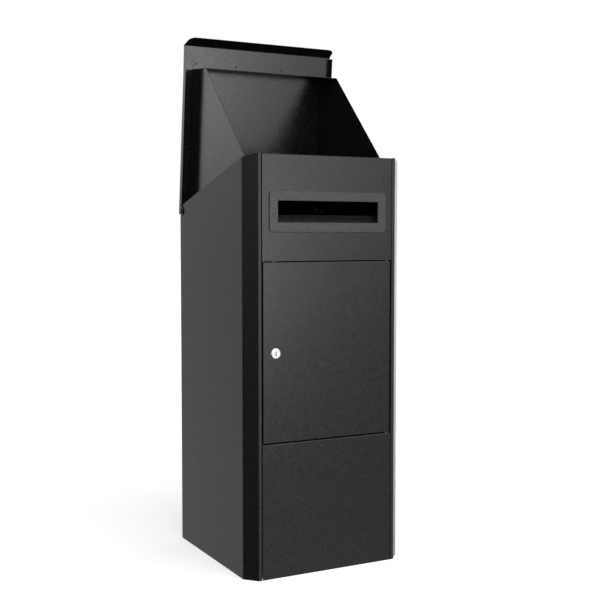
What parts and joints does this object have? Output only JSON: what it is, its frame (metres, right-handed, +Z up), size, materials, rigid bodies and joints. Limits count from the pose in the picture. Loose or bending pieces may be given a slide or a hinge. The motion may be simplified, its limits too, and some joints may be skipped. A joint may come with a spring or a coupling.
{
  "type": "parcel drop box",
  "caption": "Free-standing steel box with a letter slot, a hinged lid carrying a parcel hopper, and a lockable collection door.",
  "frame": {"origin": "on the ground, at the centre of the floor bolt pattern", "axes": "+X to the right of someone facing the front, -Y out of the front, +Z up"},
  "size_m": [0.4366, 0.4293, 1.3166],
  "materials": {
    "powder_coat": "satin black powder coat with a fine texture",
    "textured_frame": "black powder coat with a coarser speckled texture",
    "zinc": "bright zinc plate",
    "lock_metal": "satin nickel plate",
    "nylon": "grey nylon",
    "rubber": "matt grey rubber"
  },
  "bodies": {
    "cabinet": {"left_side_panel": "powder_coat", "right_side_panel": "powder_coat", "rear_panel": "powder_coat", "base_tray": "powder_coat", "compartment_floor": "powder_coat", "left_floor_bracket": "powder_coat", "right_floor_bracket": "powder_coat", "upper_front_panel": "powder_coat", "lower_front_panel": "powder_coat", "slot_bezel": "textured_frame", "letter_guard": "powder_coat", "guard_rivets": "zinc", "door_bumper": "rubber", "lid_bumpers": "rubber", "pivot_bolts": "powder_coat", "pivot_washers": "nylon", "pivot_nuts": "powder_coat", "upper_hinge_bush": "nylon", "lower_hinge_bush": "nylon"},
    "lid": {"lid_shell": "powder_coat", "lid_pivot_bushes": "nylon", "hopper_ceiling": "powder_coat", "left_cheek": "powder_coat", "right_cheek": "powder_coat", "hopper_floor": "powder_coat", "hopper_rivets": "powder_coat"},
    "door": {"door_panel": "powder_coat", "door_stiffener": "powder_coat", "door_pins": "zinc", "lock_housing": "lock_metal", "lock_nut": "zinc"},
    "lock_barrel": {"lock_plug": "lock_metal", "lock_cam": "zinc", "cam_screw": "zinc"}
  },
  "joints": [
    {"name": "lid_pivot", "type": "hinge", "parent": "cabinet", "child": "lid", "pos_m": [0, 0.1967, 0.87476], "axis": [1, 0, 0], "range_deg": [0, 69]},
    {"name": "door_hinge", "type": "hinge", "parent": "cabinet", "child": "door", "pos_m": [0.1652, -0.2055, 0.536], "axis": [0, 0, 1], "range_deg": [0, 110]},
    {"name": "lock_turn", "type": "hinge", "parent": "door", "child": "lock_barrel", "pos_m": [-0.1415, -0.211, 0.535], "axis": [0, 1, 0], "range_deg": [0, 90]}
  ]
}
